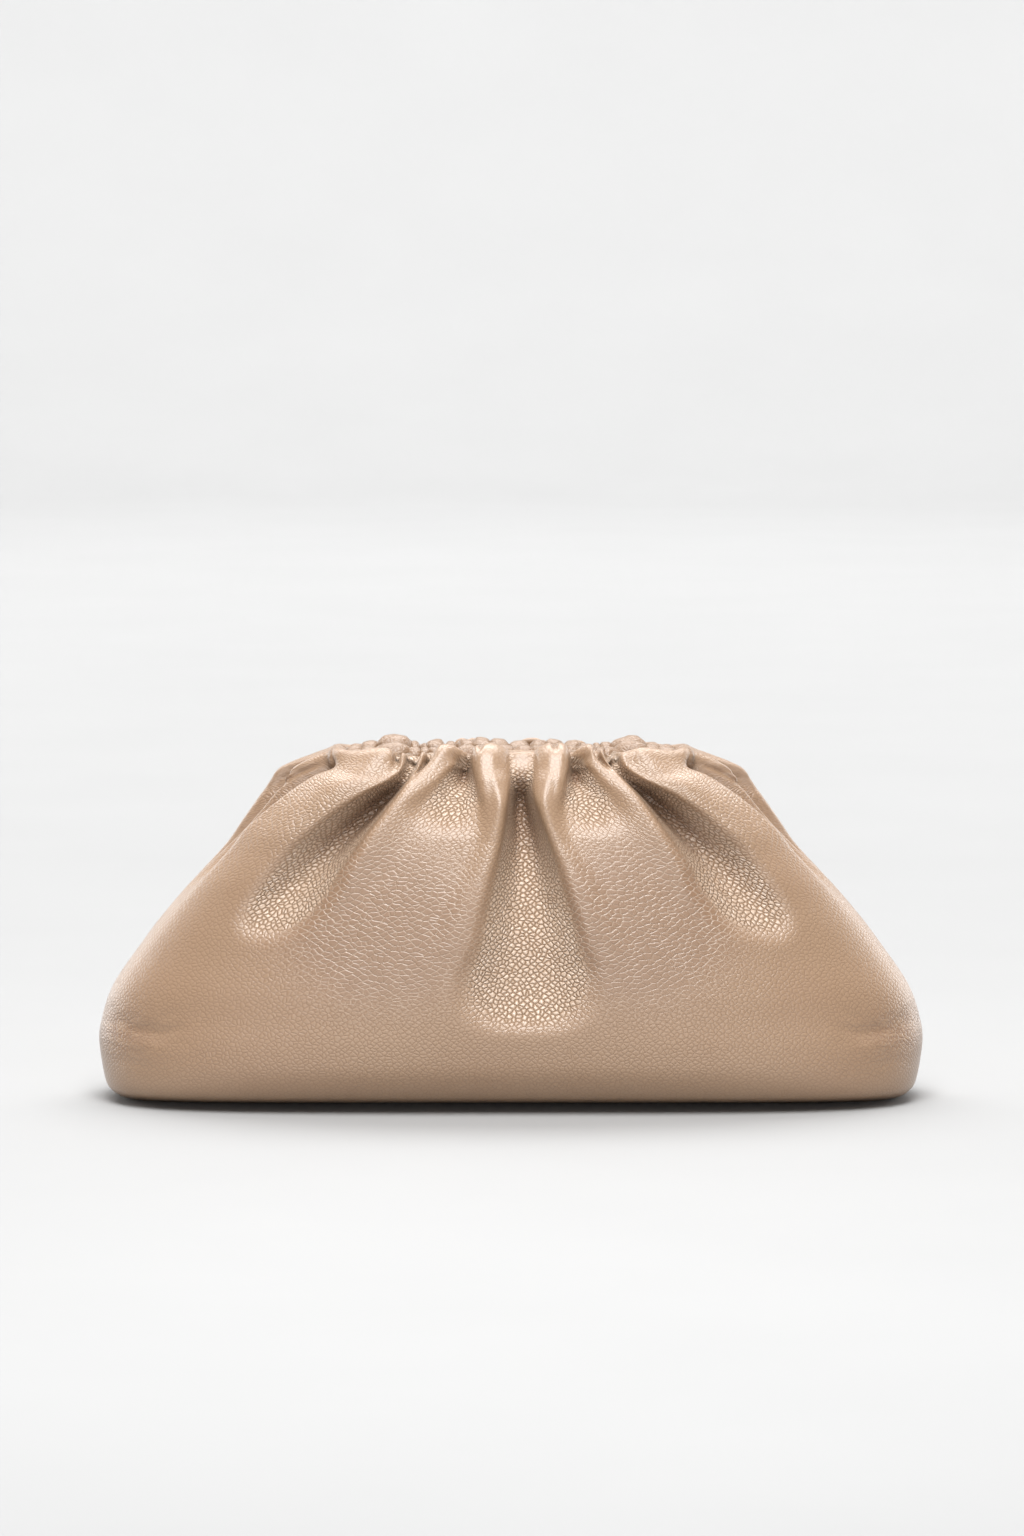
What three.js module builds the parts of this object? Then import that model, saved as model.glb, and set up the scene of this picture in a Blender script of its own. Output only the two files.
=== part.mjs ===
// A soft gathered clutch: one wrap of pebbled leather, hollow inside, whose mouth
// is drawn together in pleats over two ruched casings with a plain frame in them.
// Millimetres, +Z up, +X to the right, the front faces -Y. The origin is on the
// floor, under the middle of the bag.

import * as THREE from "three";

// Overall sizes of the leather body
const bagWidth = 380;
const bagHeight = 166;
const bagDepth = 128;
const leather = 1.5;

// The mouth: two casings side by side, each round a bar of the hidden frame
const mouthLength = 152;
const mouthSlit = 4.6;
const casingRadius = 6.5;
const casingEndShare = 0.76;
const ruchDepth = 1.5;
const pleatDepth = 5;
const barSize = 3.2;
const barClearance = 0.5;
const frameLink = 3.6;
const fitGap = 0.35;
const endGap = 1.1;

// How wide the tuck between front and back is, and over what depth the back widens
const tuckWidth = 15;
const flareRun = 14;

// How finely the surfaces are divided
const frontSteps = 60;
const backSteps = 36;
const wallRings = 23;
const casingSides = 8;
const stepsPerRuch = 3;
const crowding = 0.06;
const dentEdge = 1.3;

/** Rows of numbers as objects with the columns' names. */
function table(columns, rows) {
  return rows.map((row) => Object.fromEntries(columns.map((column, i) => [column, row[i]])));
}

// The body's level sections from the floor up. height is a share of the bag's
// height. width and depth run from 0, as at the mouth, to 1, the bag's widest.
// ends and belly are the exponents of the rounded outline. fold is how far the
// sides are tucked in between front and back, and flare how far the back stands
// wider than the front there, both as shares of half the width.
const SECTIONS = table(["height", "width", "depth", "ends", "belly", "fold", "flare"], [
  [0.0, 0.9, 0.3, 9.0, 3.2, 0, 0],
  [0.01, 0.945, 0.62, 7.0, 2.9, 0, 0],
  [0.04, 0.972, 0.86, 5.0, 2.6, 0, 0],
  [0.11, 0.99, 0.98, 3.9, 2.4, 0, 0],
  [0.18, 1.0, 1.0, 3.3, 2.3, 0, 0],
  [0.25, 0.978, 0.995, 2.9, 2.2, 0, 0],
  [0.32, 0.935, 0.975, 2.7, 2.2, 0.01, 0],
  [0.415, 0.855, 0.93, 2.5, 2.2, 0.03, 0],
  [0.51, 0.76, 0.86, 2.5, 2.3, 0.06, 0],
  [0.61, 0.647, 0.765, 2.6, 2.4, 0.1, 0],
  [0.7, 0.52, 0.655, 2.8, 2.5, 0.14, 0.005],
  [0.76, 0.43, 0.57, 3.0, 2.7, 0.16, 0.018],
  [0.82, 0.32, 0.465, 3.2, 2.9, 0.165, 0.04],
  [0.87, 0.2, 0.365, 3.6, 3.2, 0.145, 0.07],
  [0.91, 0.085, 0.26, 4.4, 3.8, 0.1, 0.095],
  [0.937, 0.01, 0.17, 5.6, 4.4, 0.03, 0.09],
  [0.955, 0.0, 0.09, 7.0, 5.0, 0, 0.045],
  [0.972, 0.0, 0.0, 8.0, 5.0, 0, 0],
]);

// Dents and pleats pressed into the front. x and z are where each starts near the
// mouth and toX and toZ where it ends: x is a share of half the mouth, toX of half
// the width, z and toZ of the height. half and toHalf are its half widths there, as
// shares of half the mouth and of half the width. deep and toDeep are its depths as
// shares of half the depth, and floor the share of its width that is flat.
const DENT_COLUMNS = ["name", "x", "z", "toX", "toZ", "half", "toHalf", "deep", "toDeep", "floor"];
const FRONT_DENTS = table(DENT_COLUMNS, [
  ["centre_tuck", 0.06, 1.0, 0.026, 0.87, 0.085, 0.04, 0.09, 0.15, 0.3],
  ["centre_trough", 0.056, 0.865, 0.034, 0.385, 0.09, 0.145, 0.16, 0.24, 0.4],
  ["left_hollow", -0.42, 0.93, -0.585, 0.53, 0.1, 0.1, 0.16, 0.2, 0.3],
  ["right_hollow", 0.45, 0.93, 0.61, 0.52, 0.1, 0.1, 0.16, 0.2, 0.3],
  ["left_cup", -0.24, 0.94, -0.145, 0.81, 0.06, 0.085, 0.13, 0.11, 0.25],
  ["right_cup", 0.34, 0.94, 0.195, 0.8, 0.06, 0.09, 0.13, 0.11, 0.25],
  ["left_notch", -0.12, 1.0, -0.054, 0.93, 0.045, 0.018, 0.08, 0.04, 0],
  ["right_notch", 0.228, 1.0, 0.1, 0.93, 0.045, 0.018, 0.08, 0.04, 0],
  ["left_pleat_1", -0.42, 1.0, -0.21, 0.9, 0.05, 0.03, 0.1, 0.12, 0],
  ["left_pleat_2", -0.55, 1.0, -0.27, 0.87, 0.05, 0.03, 0.1, 0.12, 0],
  ["left_pleat_3", -0.68, 1.0, -0.34, 0.84, 0.05, 0.03, 0.1, 0.1, 0],
  ["right_pleat_1", 0.54, 1.0, 0.28, 0.87, 0.05, 0.03, 0.1, 0.12, 0],
  ["right_pleat_2", 0.67, 1.0, 0.34, 0.84, 0.05, 0.03, 0.1, 0.1, 0],
  ["left_shoulder_crease", -0.85, 1.0, -0.42, 0.9, 0.045, 0.025, 0.07, 0.04, 0],
  ["right_shoulder_crease", 0.85, 1.0, 0.43, 0.9, 0.045, 0.025, 0.07, 0.04, 0],
]);

// The back isn't seen in the reference view: it gets the same kind of gathers,
// turned round and a little shallower, so that it matches the front.
const backDentShare = 0.8;

// Widths of the small rolls along one casing, read in turn and scaled to fill it
const RUCH_WIDTHS = [5, 4.5, 5.5, 9, 3.5, 3, 6, 4.5, 5, 5.5, 6, 5, 6, 5.5, 4, 4.5, 3.5, 8.5, 5.5, 5, 5.5];

// Halves that the tables' shares are taken of, and where the mouth's skin lies
const halfWidth = bagWidth / 2;
const halfDepth = bagDepth / 2;
const casingY = mouthSlit / 2 + casingRadius;
const casingZ = bagHeight - casingRadius;
const frameHalf = mouthLength / 2 + fitGap + frameLink;
const mouthHalf = frameHalf + endGap + leather;
const pleatFloorY = casingY + casingRadius + fitGap + leather;
const mouthDepthHalf = pleatFloorY + pleatDepth;

const leatherTan = new THREE.MeshStandardMaterial({ color: 0xbd9f89, roughness: 0.5, metalness: 0 });
const ruchedTan = new THREE.MeshStandardMaterial({ color: 0xc4a791, roughness: 0.5, metalness: 0 });
const frameSteel = new THREE.MeshStandardMaterial({ color: 0xa8a39a, roughness: 0.35, metalness: 0.9 });

const mix = (from, to, share) => from + (to - from) * share;

const smoothStep = (low, high, value) => {
  const share = Math.min(1, Math.max(0, (value - low) / (high - low)));
  return share * share * (3 - 2 * share);
};

/** A column of SECTIONS at a height share, on a smooth curve through its rows. */
function sectionValue(column, height) {
  const last = SECTIONS.length - 1;
  let row = SECTIONS.findIndex((s, i) => i < last && height <= SECTIONS[i + 1].height);
  if (row < 0) row = last - 1;
  const at = (i) => SECTIONS[Math.min(last, Math.max(0, i))];
  const [before, low, high, after] = [at(row - 1), at(row), at(row + 1), at(row + 2)];
  const run = high.height - low.height;
  const slope = (a, b) => (b.height > a.height ? (b[column] - a[column]) / (b.height - a.height) : 0);
  const share = (height - low.height) / run;
  const [squared, cubed] = [share * share, share * share * share];
  return (
    (2 * cubed - 3 * squared + 1) * low[column] +
    (cubed - 2 * squared + share) * run * slope(before, high) +
    (3 * squared - 2 * cubed) * high[column] +
    (cubed - squared) * run * slope(low, after)
  );
}

/** A point of the undented body: angle 0 is the right end and a quarter turn on is the back. */
function bodyPoint(height, angle) {
  const value = (column) => sectionValue(column, height);
  const [across, along] = [Math.cos(angle), Math.sin(angle)];
  const deep = mix(mouthDepthHalf, halfDepth, value("depth"));
  const y = Math.sign(along) * deep * Math.abs(along) ** (2 / value("belly"));
  const flare = halfWidth * value("flare") * smoothStep(-flareRun, flareRun, y);
  const wide = mix(mouthHalf, halfWidth, value("width")) + flare;
  const out = wide * Math.abs(across) ** (2 / value("ends"));
  const fold = halfWidth * value("fold") * Math.exp(-((y / tuckWidth) ** 2));
  const tucked = out - fold * smoothStep(0, mouthHalf / 2, out);
  return new THREE.Vector3(Math.sign(across) * tucked, y, bagHeight * height);
}

/** How far a front-view point is pressed in by the dents, in millimetres. */
function dentDepth(x, z) {
  let deepest = 0;
  for (const dent of FRONT_DENTS) {
    const start = new THREE.Vector2(dent.x * mouthHalf, dent.z * bagHeight);
    const run = new THREE.Vector2(dent.toX * halfWidth, dent.toZ * bagHeight).sub(start);
    const point = new THREE.Vector2(x, z).sub(start);
    const share = Math.min(1, Math.max(0, point.dot(run) / run.lengthSq()));
    const half = mix(dent.half * mouthHalf, dent.toHalf * halfWidth, share);
    const away = point.sub(run.multiplyScalar(share)).length() / half;
    const depth = halfDepth * mix(dent.deep, dent.toDeep, share);
    deepest = Math.max(deepest, depth * (1 - smoothStep(dent.floor, dentEdge, away)));
  }
  return deepest;
}

/** Presses a point of the front or back in by the deepest dent within reach of it. */
function pressed(point, reach, floorY) {
  const front = point.y < 0;
  const around = [[0, 0], [reach, 0], [-reach, 0], [0, reach], [0, -reach]];
  const depths = around.map(([x, z]) => dentDepth((point.x + x) * (front ? 1 : -1), point.z + z));
  const depth = Math.max(...depths) * (front ? 1 : backDentShare);
  const room = Math.max(0, Math.abs(point.y) - floorY);
  return point.clone().setY(point.y - Math.sign(point.y) * Math.min(depth, room));
}

/** One level ring of the undented body: the back from right to left, then the front. */
function bodyRing(height) {
  const ring = [];
  const half = (steps, from) => {
    const fine = steps * 12;
    const angleOf = (i) => from + (Math.PI * i) / fine;
    const points = Array.from({ length: fine + 1 }, (_, i) => bodyPoint(height, angleOf(i)));
    const run = [0];
    for (let i = 1; i <= fine; i++) run.push(run[i - 1] + points[i].distanceTo(points[i - 1]));
    for (let step = 0; step < steps; step++) {
      const even = step / steps;
      const wanted = run[fine] * (even + crowding * Math.sin(2 * Math.PI * even));
      const i = Math.max(1, run.findIndex((length) => length >= wanted));
      const share = (wanted - run[i - 1]) / (run[i] - run[i - 1]);
      ring.push(points[i - 1].clone().lerp(points[i], Math.max(0, share)));
    }
  };
  half(backSteps, 0);
  half(frontSteps, Math.PI);
  return ring;
}

/** A closed geometry from corner points and triangles of their numbers. */
function solidFrom(points, faces) {
  const positions = new Float32Array(points.flatMap((p) => [p.x, p.y, p.z]));
  const geometry = new THREE.BufferGeometry();
  geometry.setAttribute("position", new THREE.BufferAttribute(positions, 3));
  geometry.setIndex(faces.flat());
  geometry.computeVertexNormals();
  return geometry;
}

/** Two triangles for each cell between two rings that turn left, cut along the shorter diagonal. */
function band(points, lower, upper, count, faces) {
  for (let i = 0; i < count; i++) {
    const next = (i + 1) % count;
    const [a, b, c, d] = [lower + i, lower + next, upper + next, upper + i];
    const rising = points[a].distanceTo(points[c]) < points[b].distanceTo(points[d]);
    faces.push(rising ? [a, b, c] : [a, b, d], rising ? [a, c, d] : [b, c, d]);
  }
}

/** The body: an outer skin from the floor's middle to the mouth, and one a leather further in. */
function bodyGeometry() {
  const count = frontSteps + backSteps;
  const heightOf = (share) => mix(share, 0.5 - 0.5 * Math.cos(Math.PI * share), 0.6);
  const top = SECTIONS[SECTIONS.length - 1].height;
  const rings = Array.from({ length: wallRings + 1 }, (_, i) => bodyRing(top * heightOf(i / wallRings)));
  const sole = rings[0].map((p) => new THREE.Vector3(p.x / 2, p.y / 2, 0));
  const smooth = [new THREE.Vector3(0, 0, 0), ...sole, ...rings.flat()];
  const outer = smooth.map((p) => pressed(p, 0, pleatFloorY));
  const skin = [];
  for (let i = 0; i < count; i++) skin.push([0, 1 + ((i + 1) % count), 1 + i]);
  for (let ring = 0; ring <= wallRings; ring++) {
    band(outer, 1 + ring * count, 1 + (ring + 1) * count, count, skin);
  }

  const turned = skin.map(([a, b, c]) => [a, c, b]);
  const normals = solidFrom(smooth, skin).getAttribute("normal");
  const normal = new THREE.Vector3();
  const inner = smooth.map((p, i) => {
    const inward = p.clone().addScaledVector(normal.fromBufferAttribute(normals, i), -leather);
    return pressed(inward, leather, pleatFloorY - leather);
  });
  const shift = outer.length;
  const faces = [...skin, ...turned.map((face) => face.map((corner) => corner + shift))];
  const points = [...outer, ...inner];
  const rim = 1 + (wallRings + 1) * count;
  band(points, rim, rim + shift, count, faces);
  return solidFrom(points, faces);
}

/** A casing's outer radius: rounded rolls with sharp valleys, thinner towards both ends. */
function ruchedRadius(share, rollShare) {
  const ends = mix(casingEndShare, 1, 1 - Math.abs(2 * share - 1) ** 4);
  return casingRadius * ends - ruchDepth * (1 - Math.sqrt(Math.sin(Math.PI * rollShare)));
}

/** A ruched tube along X round its own axis, open at both ends for the bar. */
function casingGeometry() {
  const whole = RUCH_WIDTHS.reduce((sum, width) => sum + width, 0);
  const stations = [{ share: 0, roll: 0 }];
  let passed = 0;
  for (const width of RUCH_WIDTHS) {
    for (let step = 1; step <= stepsPerRuch; step++) {
      const share = (passed + (width * step) / stepsPerRuch) / whole;
      stations.push({ share, roll: (step % stepsPerRuch) / stepsPerRuch });
    }
    passed += width;
  }
  const bore = Math.SQRT1_2 * barSize + barClearance;
  const circle = (radius, share) =>
    Array.from({ length: casingSides }, (_, i) => {
      const angle = (2 * Math.PI * (i + 0.5)) / casingSides;
      const [y, z] = [radius * Math.cos(angle), radius * Math.sin(angle)];
      return new THREE.Vector3(mouthLength * (share - 0.5), y, z);
    });
  const outside = stations.map((s) => circle(ruchedRadius(s.share, s.roll), s.share));
  const rings = [...outside, circle(bore, 1), circle(bore, 0)];
  const points = rings.flat();
  const faces = [];
  rings.forEach((_, i) => {
    const after = (i + 1) % rings.length;
    band(points, i * casingSides, after * casingSides, casingSides, faces);
  });
  return solidFrom(points, faces);
}

/** The hidden frame: two straight bars joined by a link at each end, in one piece. */
function frameGeometry() {
  const outerY = casingY + barSize / 2;
  const rectangle = (path, x, y) => {
    path.moveTo(-x, -y);
    path.lineTo(x, -y);
    path.lineTo(x, y);
    path.lineTo(-x, y);
    path.closePath();
    return path;
  };
  const shape = rectangle(new THREE.Shape(), frameHalf, outerY);
  shape.holes.push(rectangle(new THREE.Path(), frameHalf - frameLink, outerY - barSize));
  const geometry = new THREE.ExtrudeGeometry(shape, { depth: barSize, bevelEnabled: false });
  return geometry.translate(0, 0, -barSize / 2);
}

/** A named mesh, set in its place. */
function piece(name, geometry, material, y = 0, z = 0) {
  const mesh = new THREE.Mesh(geometry, material);
  mesh.name = name;
  mesh.position.set(0, y, z);
  return mesh;
}

const bag = new THREE.Group();
bag.add(piece("pouch_body", bodyGeometry(), leatherTan));
bag.add(piece("front_casing", casingGeometry(), ruchedTan, -casingY, casingZ));
bag.add(piece("back_casing", casingGeometry(), ruchedTan, casingY, casingZ));
bag.add(piece("mouth_frame", frameGeometry(), frameSteel, 0, casingZ));

export default bag;
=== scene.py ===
"""The looks of a soft gathered clutch in tumbled calf leather, on a pale studio floor.

The leather is one wrap. Level sections give its full shape, and gathers drawn on the
front view press valleys into it and raise rolls between them. Lengths are in metres,
except where a name or a comment says millimetres.
"""

from __future__ import annotations

import logging
import math
from dataclasses import dataclass
from enum import Enum

import bpy
import numpy as np
from bpy.types import Material, Mesh, Node, NodeSocket, NodeTree, Object
from mathutils import Matrix, Vector

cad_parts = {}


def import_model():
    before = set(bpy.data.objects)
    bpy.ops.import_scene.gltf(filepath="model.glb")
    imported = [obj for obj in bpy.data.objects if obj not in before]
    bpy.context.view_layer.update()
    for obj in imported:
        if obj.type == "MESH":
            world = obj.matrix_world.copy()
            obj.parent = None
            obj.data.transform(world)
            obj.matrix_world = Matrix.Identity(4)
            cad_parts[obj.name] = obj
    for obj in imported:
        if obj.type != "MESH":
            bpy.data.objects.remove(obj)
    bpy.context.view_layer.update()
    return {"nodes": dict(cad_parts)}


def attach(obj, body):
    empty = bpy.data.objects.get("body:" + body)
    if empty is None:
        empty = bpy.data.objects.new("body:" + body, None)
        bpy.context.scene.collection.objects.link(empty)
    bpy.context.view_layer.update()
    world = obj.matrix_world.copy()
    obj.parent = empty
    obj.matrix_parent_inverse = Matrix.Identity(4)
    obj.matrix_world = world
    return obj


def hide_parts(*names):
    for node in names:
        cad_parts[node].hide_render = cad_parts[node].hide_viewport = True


LOG = logging.getLogger("clutch")
MM = 0.001

# The node kinds and settings used most
MATH, VECTOR_MATH, NOISE = "ShaderNodeMath", "ShaderNodeVectorMath", "ShaderNodeTexNoise"
MIX, MAP_RANGE, COORDINATES = "ShaderNodeMix", "ShaderNodeMapRange", "ShaderNodeTexCoord"
TIMES, TIMES_PLUS = {"operation": "MULTIPLY"}, {"operation": "MULTIPLY_ADD"}
MINUS, POWER = {"operation": "SUBTRACT"}, {"operation": "POWER"}
COLOURS = {"data_type": "RGBA"}

# What the leather's mesh says about its grain at each point, and how deep in a fold it lies, which sets
# painted shade
GRAIN = ("relief", "stretched", "tight", "drawn", "puckered", "deep")

# The rings of faces in a sole, as shares of the way from its centre to its edge
SOLE_RINGS = (0.3, 0.6, 0.85, 0.96)


class Face(Enum):
    """The two broad faces of the clutch, by the sign of their y."""

    FRONT = -1
    BACK = 1


def linear(hex_colour: str) -> tuple[float, float, float, float]:
    """Turns an sRGB hex colour to linear.

    Args:
        hex_colour: Six hex digits after a hash sign.

    Returns:
        Red, green and blue from 0 to 1 in linear light, and an alpha of 1.
    """
    parts = [int(hex_colour[i : i + 2], 16) / 255 for i in (1, 3, 5)]
    red, green, blue = [p / 12.92 if p <= 0.04045 else ((p + 0.055) / 1.055) ** 2.4 for p in parts]
    return (red, green, blue, 1.0)


def smooth_step(low: float, high: float, value: np.ndarray) -> np.ndarray:
    """Goes from 0 at low to 1 at high with no corner at either."""
    share = np.clip((value - low) / (high - low), 0, 1)
    return share * share * (3 - 2 * share)


def run_up(steps: np.ndarray) -> np.ndarray:
    """Adds steps up from 0, so that there is one more place than there are steps."""
    return np.concatenate([[0], np.cumsum(steps)])


def curve_through(at: np.ndarray, values: np.ndarray, wanted: np.ndarray) -> np.ndarray:
    """Reads a smooth curve through the rows of a table.

    Args:
        at: Where each row lies, rising.
        values: The rows' values, one row for each place.
        wanted: Where to read the curve.

    Returns:
        The curve's values, one row for each place asked for.
    """
    slopes = np.zeros_like(values)
    slopes[1:-1] = (values[2:] - values[:-2]) / (at[2:] - at[:-2])[:, None]
    slopes[0] = (values[1] - values[0]) / (at[1] - at[0])
    slopes[-1] = (values[-1] - values[-2]) / (at[-1] - at[-2])
    row = np.clip(np.searchsorted(at, wanted, side="right") - 1, 0, len(at) - 2)
    run = (at[row + 1] - at[row])[:, None]
    t = np.clip((wanted - at[row])[:, None] / run, 0, 1)
    low, high = values[row], values[row + 1]
    return (
        (2 * t**3 - 3 * t**2 + 1) * low
        + (t**3 - 2 * t**2 + t) * run * slopes[row]
        + (3 * t**2 - 2 * t**3) * high
        + (t**3 - t**2) * run * slopes[row + 1]
    )


def feed(tree: NodeTree, node: Node, **links) -> None:
    """Gives a node's inputs their values and links.

    Args:
        tree: The node tree.
        node: The node to feed.
        **links: For each input, by name or as iN for the Nth, a value, an output to link, or a
            node that stands for its first output.
    """
    for name, value in links.items():
        number = name[0] == "i" and name[1:].isdigit()
        socket = node.inputs[int(name[1:]) if number else name.replace("_", " ")]
        source = value.outputs[0] if isinstance(value, Node) else value
        if isinstance(source, NodeSocket):
            tree.links.new(source, socket)
        else:
            socket.default_value = source


def add_node(tree: NodeTree, kind: str, settings: dict | None = None, **links) -> Node:
    """Adds a node with its settings, values and links.

    Args:
        tree: The node tree to add to.
        kind: The node's type name.
        settings: The node's own properties by name.
        **links: What goes into its inputs, as feed() takes it.

    Returns:
        The new node.
    """
    node = tree.nodes.new(kind)
    for name, value in (settings or {}).items():
        setattr(node, name, value)
    feed(tree, node, **links)
    return node


def new_material(name: str) -> tuple[Material, NodeTree, Node]:
    """Starts a material, and gives its node tree and its main shader with it."""
    material = bpy.data.materials.new(name)
    material.use_nodes = True
    return material, material.node_tree, material.node_tree.nodes["Principled BSDF"]


def mesh_object(name: str, points: np.ndarray, faces: list, material: Material) -> Object:
    """Makes a smooth-shaded mesh object at the origin.

    Args:
        name: The piece's name.
        points: Corner places, one row each.
        faces: Lists of corner numbers.
        material: The piece's finish.

    Returns:
        The new object, linked to the scene.
    """
    mesh = bpy.data.meshes.new(name)
    mesh.from_pydata(points.tolist(), [], faces)
    mesh.materials.append(material)
    mesh.polygons.foreach_set("use_smooth", [True] * len(mesh.polygons))
    mesh.update()
    piece = bpy.data.objects.new(name, mesh)
    bpy.context.scene.collection.objects.link(piece)
    return piece


@dataclass(frozen=True)
class TumbledCalf:
    """Chrome-tanned calf, tumbled until the grain stands up in pebbles.

    Where the hide is stretched the pebbles are flat diamonds with pale lines between them.
    Where it is drawn in they stand close and round, each catches the light, and their tops are painted
    lighter as a painted highlight; the gaps between them, the corner cracks and deep folds are painted
    darker as painted shade.
    """

    name: str = "tumbled_calf"
    hide: str = "#96775c"
    bloom: str = "#a08368"
    # This pale colour also goes on close pebbles' tops as a painted highlight
    line: str = "#cfb8a3"
    gap: str = "#7a5a42"
    # How far the hide's colour goes to the line's: on the lines themselves, and on close pebbles' tops as a
    # painted highlight
    line_tone: float = 0.8
    top_highlight_tone: float = 0.75
    # How far it goes to the gap's: in the gaps between close pebbles as painted shade, where the hide is
    # stretched, in cracks as painted shade and deep in folds as painted shade
    gap_shade_tone: float = 0.4
    sunk_tone: float = 0.52
    crack_shade_tone: float = 0.5
    fold_shade_tone: float = 0.8
    roughness: float = 0.44
    topcoat: float = 0.65
    # The spacing of stretched pebbles round the clutch and up it, of close ones and of wrinkles
    wide_mm: float = 3.6
    high_mm: float = 2.1
    dense_mm: float = 2.25
    wrinkle_mm: float = 1.7
    # Close pebbles' spacing up the clutch against round it, and how wide wrinkles and cracks are
    # against their length
    dense_squash: float = 0.85
    wrinkle_squash: float = 0.16
    crack_squash: float = 0.2
    # How many patches of paler lines, and clouds of the hide's own colour, there are in a metre
    patches: float = 180.0
    clouds: float = 24.0
    # Real pores are about 0.1 mm apart, too fine to show, so they are drawn coarser
    pore_mm: float = 0.7
    # How high the relief stands, and each pattern's part in it
    height_mm: float = 0.5
    dense_share: float = 1.05
    wrinkle_share: float = 1.6
    crack_share: float = 0.6
    pore_share: float = 0.16
    # How far from a pebble's edge its middle lies, and where gaps, lines and tops end
    middle: float = 0.42
    gap_end: float = 0.16
    line_end: float = 0.17
    top_end: float = 0.32
    # How wide a crack is, as a share of the noise it is cut from
    crack_end: float = 0.13
    # How much of the painted shade in the gaps is lost where the hide is drawn in tightest
    tight_loss: float = 0.65
    # Whether the grain lies on the leather's own flat map and varies over it
    mapped: bool = True

    def pebbles(self, tree: NodeTree, place: NodeSocket, wide: float, high: float) -> Node:
        """Measures how far each place is from the lines between pebbles.

        Args:
            tree: The material's node tree.
            place: Where on the leather, in metres.
            wide: How far apart the pebbles are round the clutch, in millimetres.
            high: How far apart they are up it, in millimetres.

        Returns:
            The node of the distance, as a share of the pebbles' size.
        """
        # Squares stood on a corner and then stretched: the grain's diamonds
        cell = (1 / (wide * MM), 1 / (high * MM), 1 / (high * MM))
        corner = (0, 0, math.pi / 4)
        scaled = add_node(tree, "ShaderNodeMapping", i0=place, Rotation=corner, Scale=cell)
        warp = add_node(tree, NOISE, Vector=scaled, Scale=0.45, Detail=2.0).outputs["Color"]
        push = add_node(tree, VECTOR_MATH, MINUS, i0=warp, i1=(0.5, 0.5, 0.5))
        moved = add_node(tree, VECTOR_MATH, {"operation": "ADD"}, i0=scaled, i1=push)
        settings = {"feature": "DISTANCE_TO_EDGE", "voronoi_dimensions": "2D" if self.mapped else "3D"}
        return add_node(tree, "ShaderNodeTexVoronoi", settings, Vector=moved, Scale=1.0, Randomness=0.7)

    def dome(self, tree: NodeTree, distance: Node, flatness: float, rise: float) -> Node:
        """Rounds a pebble up from its edge.

        Args:
            tree: The material's node tree.
            distance: How far from the edge.
            flatness: How flat its top is, and so how steep its edge.
            rise: Its height.

        Returns:
            The node of the height.
        """
        share = add_node(tree, MAP_RANGE, Value=distance, From_Max=self.middle, To_Min=1.0, To_Max=0.0)
        low = add_node(tree, MATH, POWER, i0=share, i1=flatness)
        return add_node(tree, MATH, TIMES_PLUS, i0=low, i1=-rise, i2=rise)

    @staticmethod
    def ramp(tree: NodeTree, value: Node, high: float, start: float, stop: float) -> Node:
        """Maps 0 to high smoothly onto start to stop."""
        smooth = {"interpolation_type": "SMOOTHSTEP"}
        return add_node(tree, MAP_RANGE, smooth, Value=value, From_Max=high, To_Min=start, To_Max=stop)

    def cracks(self, tree: NodeTree, place: NodeSocket) -> Node:
        """Draws the fine, mostly level lines that fan in from a corner.

        Args:
            tree: The material's node tree.
            place: Where on the flat leather.

        Returns:
            The node of their depth, from 0 to 1.
        """
        size = (self.crack_squash / (self.wrinkle_mm * MM), 1 / (self.wrinkle_mm * MM), 0)
        scaled = add_node(tree, VECTOR_MATH, TIMES, i0=place, i1=size)
        noise = add_node(tree, NOISE, Vector=scaled, Scale=0.8, Detail=2.0)
        middle = add_node(tree, MATH, MINUS, i0=noise, i1=0.5)
        away = add_node(tree, MATH, {"operation": "ABSOLUTE"}, i0=middle)
        return self.ramp(tree, away, self.crack_end, 1.0, 0.0)

    def varied(
        self, tree: NodeTree, place: NodeSocket, solid: NodeSocket, dense: Node, height: Node
    ) -> tuple[Node, Node, Node, NodeSocket]:
        """Varies the grain over the leather by what its mesh says at each point.

        Args:
            tree: The material's node tree.
            place: Where on the flat leather.
            solid: Where on the clutch.
            dense: Distances from the lines between close pebbles.
            height: The height of close pebbles.

        Returns:
            The height, how far the colour goes to the line's (on the lines, and as a painted highlight on
            close pebbles' tops) and to the gap's (as painted shade, and as the stretched hide's darker
            tone), and the bump's strength.
        """
        relief, stretched, tight, drawn, puckered, deep = (
            add_node(tree, "ShaderNodeAttribute", {"attribute_name": name}).outputs["Fac"] for name in GRAIN
        )
        coarse = self.pebbles(tree, place, self.wide_mm, self.high_mm)
        flat = self.dome(tree, coarse, 5.0, 1.0)
        height = add_node(tree, MIX, Factor=stretched, i2=height, i3=flat)
        along = (1 / (self.wrinkle_mm * MM), self.wrinkle_squash / (self.wrinkle_mm * MM), 0)
        lines = add_node(tree, VECTOR_MATH, TIMES, i0=place, i1=along)
        wrinkle = add_node(tree, NOISE, Vector=lines, Scale=1.0, Detail=2.0)
        steep = add_node(tree, MATH, TIMES, i0=drawn, i1=self.wrinkle_share)
        height = add_node(tree, MATH, TIMES_PLUS, i0=wrinkle, i1=steep, i2=height)
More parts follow.
